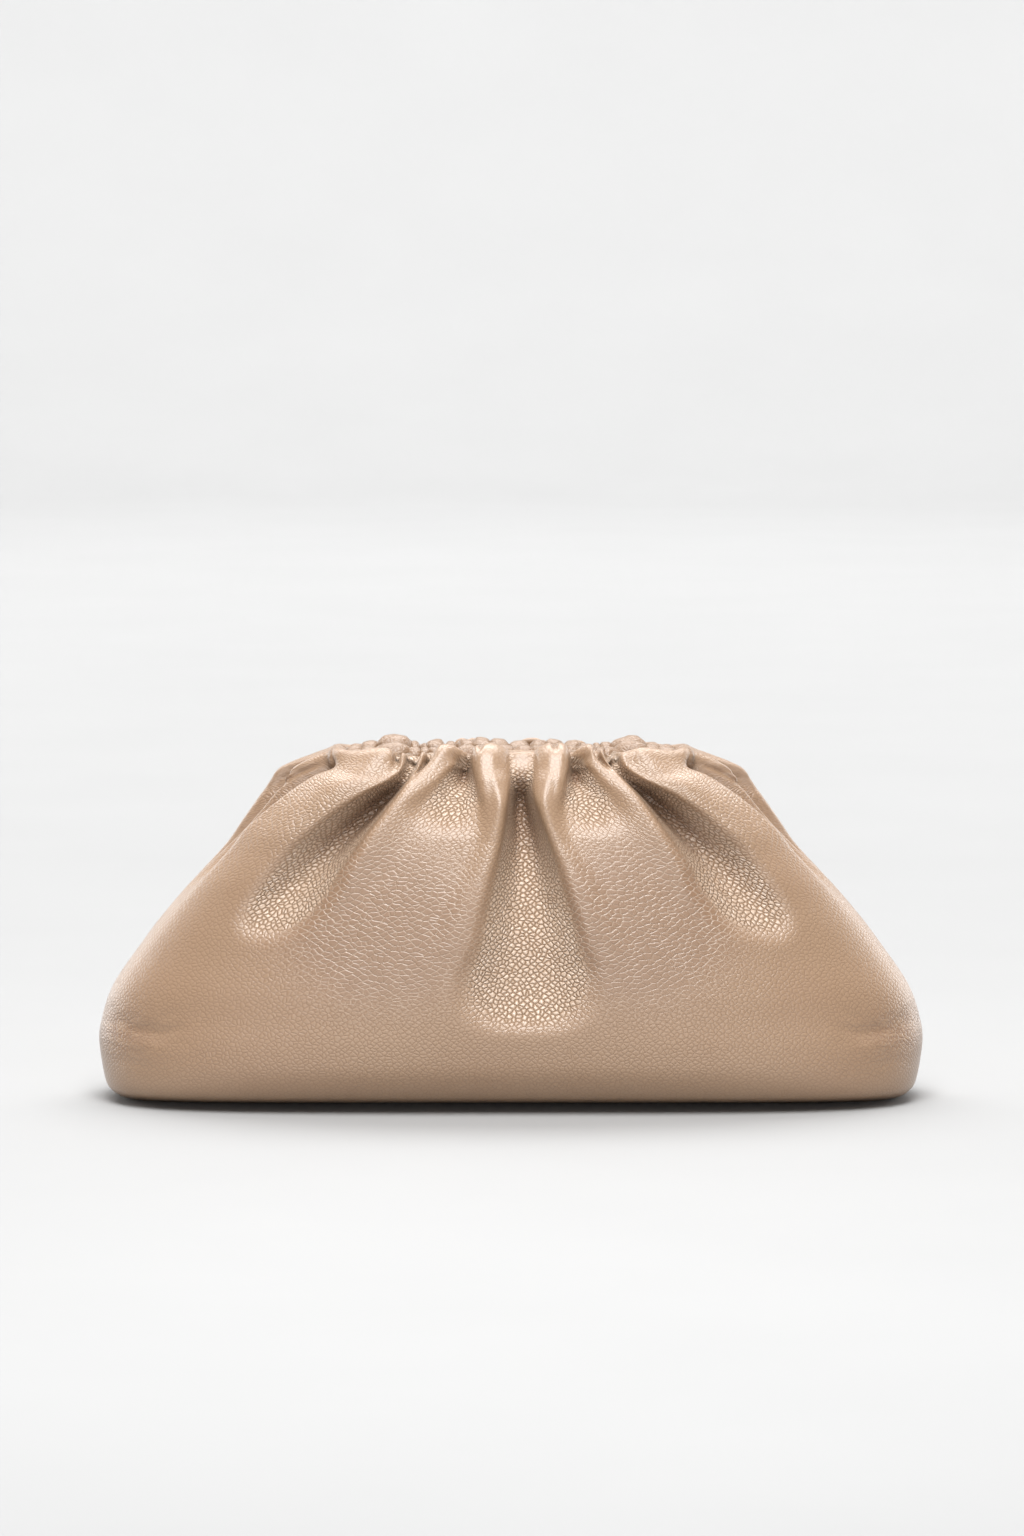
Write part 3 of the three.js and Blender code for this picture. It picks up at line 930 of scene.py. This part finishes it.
    def flat_map(self, grid: np.ndarray) -> np.ndarray:
        """Lays the leather out flat, so that the grain keeps its size over the folds.

        Args:
            grid: Rows by columns by 5 values, as grid() gives.

        Returns:
            Rows by columns + 1 by 2: metres round from the front's middle, and metres up.
        """
        closed = np.concatenate([grid[..., :3], grid[:, :1, :3]], axis=1)
        steps = np.linalg.norm(np.diff(closed, axis=1), axis=2)
        around = np.concatenate([np.zeros((len(grid), 1)), np.cumsum(steps, axis=1)], axis=1)
        around -= around[:, [(self.back_columns + self.front_columns) // 2]]
        values = self.level_values()
        deep = (self.depth / 2 - self.mouth_depth_half) * values[:, 2]
        profile = np.stack([self.height * values[:, 0], deep])
        up = run_up(np.linalg.norm(np.diff(profile, axis=1), axis=0))
        return np.stack([around, np.broadcast_to(up[:, None], around.shape)], axis=2)

    def grain(self, grid: np.ndarray) -> tuple[np.ndarray, ...]:
        """Says how strong and how stretched the pebbles are at each point of the grid.

        Args:
            grid: Rows by columns by 5 values, as grid() gives.

        Returns:
            GRAIN's values from 0 to 1: relief, stretch, tightness, which also sets a painted highlight on
            close pebbles' tops, wrinkles at the mouth and at the corners, and how deep in a fold the leather
            lies, which sets painted shade there.
        """
        x, z = np.abs(grid[..., 0]) / MM, grid[..., 2] / MM
        valley, roll = grid[..., 3], grid[..., 4]

        def patch(at_x: float, at_z: float, half_x: float, half_z: float) -> np.ndarray:
            """Fades from 1 at a place on both sides of the front view, in millimetres."""
            return np.exp(-(((x - at_x) / half_x) ** 2) - ((z - at_z) / half_z) ** 2)

        tight = smooth_step(0.3, 5, valley - 1.2 * roll)
        puckered = patch(*self.corner_patch) * (grid[..., 1] < 0)
        high = smooth_step(0.86, 0.96, z * MM / self.height)
        drawn = high * smooth_step(30, 50, x) * smooth_step(84, 72, x)
        cheek = patch(*self.cheek_patch)
        stretched = smooth_step(0.08, 0.7, cheek) * (1 - smooth_step(0.1, 0.8, tight))
        relief = 0.28 + 0.25 * cheek + 0.75 * tight - 0.14 * smooth_step(1, 5, roll) * (1 - tight)
        relief -= 0.1 * smooth_step(25, 8, z)
        relief += 0.3 * patch(*self.shoulder_patch) * (1 - tight)
        # How deep in a fold near the mouth the leather lies, where the material paints shade
        deep = smooth_step(10, 20, valley) * smooth_step(105, 138, z) * smooth_step(160, 152, z)
        return np.clip(relief, 0.14, 1), stretched, tight, drawn, puckered, deep

    def build(self, leather: Material, suede: Material) -> list[Object]:
        """Builds the outside and the inside of the wrap.

        Args:
            leather: The grain side's finish.
            suede: The flesh side's finish.

        Returns:
            The two pieces.
        """
        grid = self.grid()
        outer = self.skin("pouch_leather", grid[..., :3], leather, 1)
        self.lay_map(outer.data, self.flat_map(grid))
        for name, values in zip(GRAIN, self.grain(grid)):
            sole = np.tile(values[0], len(SOLE_RINGS))
            full = np.concatenate([[values[0].mean()], sole, values.ravel()]).astype(np.float32)
            outer.data.attributes.new(name, "FLOAT", "POINT").data.foreach_set("value", full)
        inner = self.skin("pouch_flesh_side", self.flesh_grid(grid), suede, -1)
        return [outer, inner]

    @staticmethod
    def lay_map(mesh: Mesh, flat: np.ndarray) -> None:
        """Gives the outer skin its map for the grain.

        Args:
            mesh: The skin's mesh, with its faces in skin()'s order.
            flat: The map, as flat_map() gives.
        """
        # The sole is hardly seen, so its rings share one narrow strip below the map's first row
        shares = np.array(SOLE_RINGS)[:, None]
        below = np.broadcast_to(0.05 * (shares - 1), (len(shares), flat.shape[1]))
        full = np.concatenate([np.stack([flat[:1, :, 0] * shares, below], axis=2), flat])
        low, high = full[:-1], full[1:]
        fan = np.stack([0.5 * full[0, :-1], full[0, 1:], full[0, :-1]], axis=1)
        cells = np.stack([low[:, :-1], low[:, 1:], high[:, 1:], high[:, :-1]], axis=2)
        corners = np.concatenate([fan.reshape(-1, 2), cells.reshape(-1, 2)])
        mesh.uv_layers.new(name="leather").data.foreach_set("uv", corners.ravel().astype(np.float32))

    def flesh_grid(self, grid: np.ndarray) -> np.ndarray:
        """Thins the grid out for the flesh side and moves it one wall inwards.

        Args:
            grid: Rows by columns by 5 values, as grid() gives.

        Returns:
            Rows by columns by 3 coordinates, behind the deepest fold around each point.
        """
        deepest = grid[..., 3].copy()
        for shift in range(1, self.flesh_step):
            for axis in (0, 1):
                for step in (shift, -shift):
                    deepest = np.maximum(deepest, np.roll(grid[..., 3], step, axis=axis))
        behind = np.minimum((deepest - grid[..., 3]) * MM, np.abs(grid[..., 1]) * 0.6)
        inside = grid[..., :3].copy()
        inside[..., 1] -= np.sign(inside[..., 1]) * behind
        inside = inside[:: self.flesh_step, :: self.flesh_step]
        inside = inside[: int(len(inside) * self.flesh_share)]
        return inside - self.normals(inside) * self.wall

    @staticmethod
    def skin(name: str, grid: np.ndarray, material: Material, side: int) -> Object:
        """Makes a mesh of a grid closed below by a sole.

        Args:
            name: The piece's name.
            grid: Rows by columns by 3 coordinates.
            material: The finish.
            side: 1 if its faces look outwards, -1 if inwards.

        Returns:
            The piece.
        """
        first = grid[0]
        centre = first.mean(axis=0)
        soles = [centre + (first - centre) * share for share in SOLE_RINGS]
        points = np.concatenate([centre[None], *soles, grid.reshape(-1, 3)])
        count = grid.shape[1]
        faces = [[0, 1 + (i + 1) % count, 1 + i] for i in range(count)]
        for row in range(len(SOLE_RINGS) + len(grid) - 1):
            low = 1 + row * count
            high = low + count
            for i, j in ((i, (i + 1) % count) for i in range(count)):
                faces.append([low + i, low + j, high + j, high + i])
        if side < 0:
            faces = [face[::-1] for face in faces]
        return mesh_object(name, points, faces, material)


@dataclass
class RuchedLip:
    """The leather drawn up along one bar of the frame into a row of small rolls."""

    name: str
    face: Face
    height: float = 0.166
    radius: float = 0.0076
    middle_y: float = 0.0095
    seed: int = 7
    # Each roll from left to right: its width and how far its top is below the highest, in millimetres
    rolls: tuple = (
        (7.4, 2.4), (6.4, 2.2), (7.8, 1.4), (13.8, 0.0), (4.1, 1.0), (3.6, 1.2), (8.3, 0.8), (5.5, 1.3),
        (6.9, 0.6), (7.8, 0.1), (8.3, 0.5), (9.2, 1.8), (7.4, 0.9), (8.3, 0.8), (8.3, 1.2), (4.6, 1.3),
        (3.9, 1.2), (5.5, 1.4), (13.8, 1.0), (6.9, 1.8), (6.9, 2.2), (7.4, 2.4),
    )  # fmt: skip
    length: float = 0.166
    end_closing: float = 0.1
    end_drop: float = 0.0006
    drop_share: float = 1.0
    # A roll's half width as a share of its place's width, and the power that blunts its ends
    half_share: float = 0.68
    end_power: float = 0.74
    # How far a roll may turn either way about each axis, in radians
    most_turn: tuple = (0.5, 0.3, 0.26)
    # How high the rolls' wrinkles stand, and how many there are in a metre
    wrinkle_mm: float = 2.4
    wrinkles: float = 150.0

    def points(self, leather: Material) -> Object:
        """Places one point for each roll, with the roll's width on it.

        Args:
            leather: The finish.

        Returns:
            The points, as a mesh object with no faces.
        """
        rolls = self.rolls if self.face is Face.BACK else self.rolls[::-1]
        widths, drops = np.array(rolls).T
        drops = drops * MM * self.drop_share
        widths = widths / widths.sum() * self.length
        middles = np.cumsum(widths) - widths / 2 - self.length / 2
        near_end = smooth_step(0.74, 1.0, np.abs(middles) * 2 / self.length)
        level = self.height - self.radius - drops - self.end_drop * near_end
        across = self.face.value * self.middle_y * (1 - self.end_closing * near_end)
        piece = mesh_object(self.name, np.stack([middles, across, level], 1), [], leather)
        sizes = piece.data.attributes.new("roll_width", "FLOAT", "POINT")
        sizes.data.foreach_set("value", widths.astype(np.float32))
        return piece

    def tree(self, leather: Material) -> NodeTree:
        """Builds the nodes that put a puffed roll on every point.

        Args:
            leather: The finish.

        Returns:
            The node tree, with its radius, wrinkle height and seed as inputs.
        """
        tree = bpy.data.node_groups.new(self.name + "_rolls", "GeometryNodeTree")
        kinds = {"Geometry": "Geometry", "Radius": "Float", "Wrinkle": "Float", "Seed": "Int"}
        for name, kind in kinds.items():
            tree.interface.new_socket(name, in_out="INPUT", socket_type="NodeSocket" + kind)
        tree.interface.new_socket("Geometry", in_out="OUTPUT", socket_type="NodeSocketGeometry")
        given = tree.nodes.new("NodeGroupInput").outputs
        result = tree.nodes.new("NodeGroupOutput")
        ball = add_node(tree, "GeometryNodeMeshUVSphere", Segments=40, Rings=26, Radius=1.0)
        place = add_node(tree, "GeometryNodeInputPosition")
        x, y, z = add_node(tree, "ShaderNodeSeparateXYZ", i0=place).outputs
        # A sphere stood on its side, its ends blunted, so that neighbours press flat on each other
        far = add_node(tree, MATH, {"operation": "ABSOLUTE"}, i0=z)
        blunt = add_node(tree, MATH, POWER, i0=far, i1=self.end_power)
        sign = add_node(tree, MATH, {"operation": "SIGN"}, i0=z)
        signed = add_node(tree, MATH, TIMES, i0=blunt, i1=sign)
        lying = add_node(tree, "ShaderNodeCombineXYZ", i0=signed, i1=y, i2=x)
        puff = add_node(tree, "GeometryNodeSetPosition", Geometry=ball, Position=lying)
        width = add_node(tree, "GeometryNodeInputNamedAttribute", {"data_type": "FLOAT"}, Name="roll_width")
        half = add_node(tree, MATH, TIMES, i0=width, i1=self.half_share)
        # A wide roll stands taller than a narrow one
        span = {"From_Min": 0.003, "From_Max": 0.014, "To_Min": 0.78, "To_Max": 1.2}
        grown = add_node(tree, MAP_RANGE, Value=width, **span)
        tall = add_node(tree, MATH, TIMES, i0=grown, i1=given["Radius"])
        size = add_node(tree, "ShaderNodeCombineXYZ", i0=half, i1=given["Radius"], i2=tall)
        turns = {"i0": [-most for most in self.most_turn], "i1": self.most_turn, "Seed": given["Seed"]}
        turn = add_node(tree, "FunctionNodeRandomValue", {"data_type": "FLOAT_VECTOR"}, **turns)
        on_points = {"Points": given["Geometry"], "Instance": puff, "Rotation": turn, "Scale": size}
        row = add_node(tree, "GeometryNodeInstanceOnPoints", **on_points)
        solid = add_node(tree, "GeometryNodeRealizeInstances", Geometry=row)
        wrinkles = add_node(tree, NOISE, Scale=self.wrinkles, Detail=2.0, Vector=place).outputs["Color"]
        centred = add_node(tree, VECTOR_MATH, MINUS, i0=wrinkles, i1=(0.5, 0.5, 0.5))
        shift = add_node(tree, VECTOR_MATH, {"operation": "SCALE"}, i0=centred, Scale=given["Wrinkle"])
        crumpled = add_node(tree, "GeometryNodeSetPosition", Geometry=solid, Offset=shift)
        smooth = add_node(tree, "GeometryNodeSetShadeSmooth", i0=crumpled)
        finished = add_node(tree, "GeometryNodeSetMaterial", Geometry=smooth, Material=leather)
        feed(tree, result, i0=finished)
        return tree

    def build(self, leather: Material) -> Object:
        """Builds the lip as one plain mesh.

        Args:
            leather: The finish.

        Returns:
            The piece.
        """
        piece = self.points(leather)
        modifier = piece.modifiers.new("rolls", "NODES")
        modifier.node_group = self.tree(leather)
        sockets = modifier.node_group.interface.items_tree
        named = {item.name: item.identifier for item in sockets if item.in_out == "INPUT"}
        modifier[named["Radius"]] = self.radius
        modifier[named["Wrinkle"]] = self.wrinkle_mm * MM
        modifier[named["Seed"]] = self.seed
        seen = piece.evaluated_get(bpy.context.evaluated_depsgraph_get())
        mesh = bpy.data.meshes.new_from_object(seen)
        piece.modifiers.clear()
        piece.data = mesh
        return piece


@dataclass(frozen=True)
class SoftBox:
    """One soft rectangular light: where it stands, what it points at, its size and its power."""

    name: str
    place: tuple
    target: tuple
    size: tuple
    watts: float

    def build(self) -> None:
        """Adds the light to the scene."""
        light = bpy.data.lights.new(self.name, "AREA")
        light.shape = "RECTANGLE"
        light.size, light.size_y = self.size
        light.energy = self.watts
        lamp = bpy.data.objects.new(self.name, light)
        facing = (Vector(self.target) - Vector(self.place)).to_track_quat("-Z", "Y")
        lamp.matrix_world = Matrix.Translation(self.place) @ facing.to_matrix().to_4x4()
        bpy.context.scene.collection.objects.link(lamp)


@dataclass
class Studio:
    """The paper sweep, the soft lights and the camera."""

    aim: tuple = (0.0005, 0.0, 0.1526)
    azimuth_degrees: float = 0.0
    elevation_degrees: float = 6.0
    distance: float = 3.4
    frame_height: float = 0.7066
    film_mm: float = 36.0
    wall_radius: float = 5.2
    wall_height: float = 1.5
    bend: float = 1.2
    # The sweep's mesh: its flat rings and the first one's radius, the bend's rings and the first
    # one's angle, and the faces round it
    floor_rings: int = 12
    first_ring: float = 0.25
    bend_rings: int = 20
    first_turn: float = 0.08
    turns: int = 128
    air: float = 0.395
    boxes: tuple = (
        SoftBox("top_box", (0.0, -0.72, 1.44), (0.0, 0.0, 0.1), (0.75, 1.4), 34.5),
        SoftBox("front_box", (0.0, -2.4, 0.4), (0.0, 0.0, 0.1), (2.4, 0.6), 13.0),
        SoftBox("rear_box", (0.0, 1.3, 1.9), (0.0, 0.2, 0.0), (1.8, 0.8), 12.0),
        SoftBox("backdrop_box", (0.0, 3.2, 2.4), (0.0, 5.2, 0.5), (4.0, 0.8), 140.0),
        SoftBox("floor_box", (0.0, 1.4, 2.6), (0.0, 1.6, 0.0), (4.4, 1.2), 104.0),
        SoftBox("left_box", (-2.2, 1.8, 0.6), (0.0, 0.0, 0.08), (2.4, 1.4), 28.0),
        SoftBox("right_box", (2.2, 1.8, 0.6), (0.0, 0.0, 0.08), (2.4, 1.4), 28.0),
    )

    def cove(self, paper: Material) -> Object:
        """Builds the round floor and its curve up into a low wall all round.

        Args:
            paper: The finish.

        Returns:
            The floor.
        """
        flat = self.wall_radius - self.bend
        profile = [(r, 0.0) for r in np.linspace(self.first_ring, flat, self.floor_rings)]
        for turn in np.linspace(self.first_turn, math.pi / 2, self.bend_rings):
            profile.append((flat + self.bend * math.sin(turn), self.bend * (1 - math.cos(turn))))
        profile.append((self.wall_radius, self.wall_height))
        angles = np.linspace(0, 2 * math.pi, self.turns + 1)[:-1]
        circle = np.stack([np.cos(angles), np.sin(angles), np.zeros(self.turns)], axis=1)
        rings = [r * circle + (0, 0, z) for r, z in profile]
        points = np.concatenate([np.zeros((1, 3)), *rings])
        pairs = [(i, (i + 1) % self.turns) for i in range(self.turns)]
        faces = [[0, 1 + i, 1 + j] for i, j in pairs]
        for low in range(1, 1 + self.turns * (len(profile) - 1), self.turns):
            high = low + self.turns
            faces += [[low + i, high + i, high + j, low + j] for i, j in pairs]
        floor = mesh_object("studio_floor", points, faces, paper)
        return floor

    def build(self, paper: Material) -> None:
        """Builds the whole studio.

        Args:
            paper: The sweep's finish.
        """
        scene = bpy.context.scene
        world = bpy.data.worlds.new("studio_air")
        world.use_nodes = True
        background = world.node_tree.nodes["Background"]
        background.inputs["Color"].default_value = (1.0, 1.0, 1.0, 1.0)
        background.inputs["Strength"].default_value = self.air
        scene.world = world
        scene.view_settings.view_transform = "Standard"
        for box in self.boxes:
            box.build()
        camera = bpy.data.cameras.new("camera")
        camera.sensor_fit = "VERTICAL"
        camera.sensor_height = self.film_mm
        camera.lens = self.film_mm * self.distance / self.frame_height
        camera.clip_end = 20
        holder = bpy.data.objects.new("camera", camera)
        turn, rise = math.radians(self.azimuth_degrees), math.radians(self.elevation_degrees)
        back = Vector((-math.sin(turn) * math.cos(rise), -math.cos(turn) * math.cos(rise), math.sin(rise)))
        place = Vector(self.aim) + back * self.distance
        holder.matrix_world = Matrix.Translation(place) @ back.to_track_quat("Z", "Y").to_matrix().to_4x4()
        scene.collection.objects.link(holder)
        scene.camera = holder
        self.cove(paper)


def settle(piece: Object, slot: str, *nodes: str) -> None:
    """Ties a piece to the frame and reports it.

    Args:
        piece: The finished piece.
        slot: Not used; the record's material slot for the piece.
        *nodes: The frame's nodes that it stands for.
    """
    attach(piece, "root")
    if nodes:
        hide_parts(*nodes)
    piece.data.calc_loop_triangles()
    LOG.info("%s: %d triangles", piece.name, len(piece.data.loop_triangles))


def main() -> None:
    """Builds the studio and the clutch."""
    logging.basicConfig(level=logging.INFO, format="%(name)s %(message)s")
    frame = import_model()
    Studio().build(StudioPaper().material())
    leather = TumbledCalf()
    # The lips' leather is the same calf, with hide and bloom painted darker than the body's as painted shade
    # on the gathered rolls
    shaded_lip_leather = TumbledCalf(
        name="ruched_calf_shaded",
        hide="#83664d",
        bloom="#8d7157",
        gap_shade_tone=0.25,
        roughness=0.5,
        topcoat=0.55,
        height_mm=0.3,
        mapped=False,
    )
    outer, inner = LeatherWrap().build(leather.material(), FleshSide().material())
    settle(outer, "leather_tan", "pouch_body")
    settle(inner, "leather_tan")
    ruched = shaded_lip_leather.material()
    front_sizes = {"height": 0.1646, "radius": 0.0056, "middle_y": 0.0088, "drop_share": 0.3, "seed": 3}
    front = RuchedLip("front_lip_rolls", Face.FRONT, **front_sizes)
    settle(front.build(ruched), "leather_ruched", "front_casing")
    settle(RuchedLip("back_lip_rolls", Face.BACK).build(ruched), "leather_ruched", "back_casing")
    steel = SatinSteel().material()
    for slot in frame["nodes"]["mouth_frame"].material_slots:
        slot.material = steel
    LOG.info("mouth_frame: %s", steel.name)


if __name__ == "__main__":
    main()
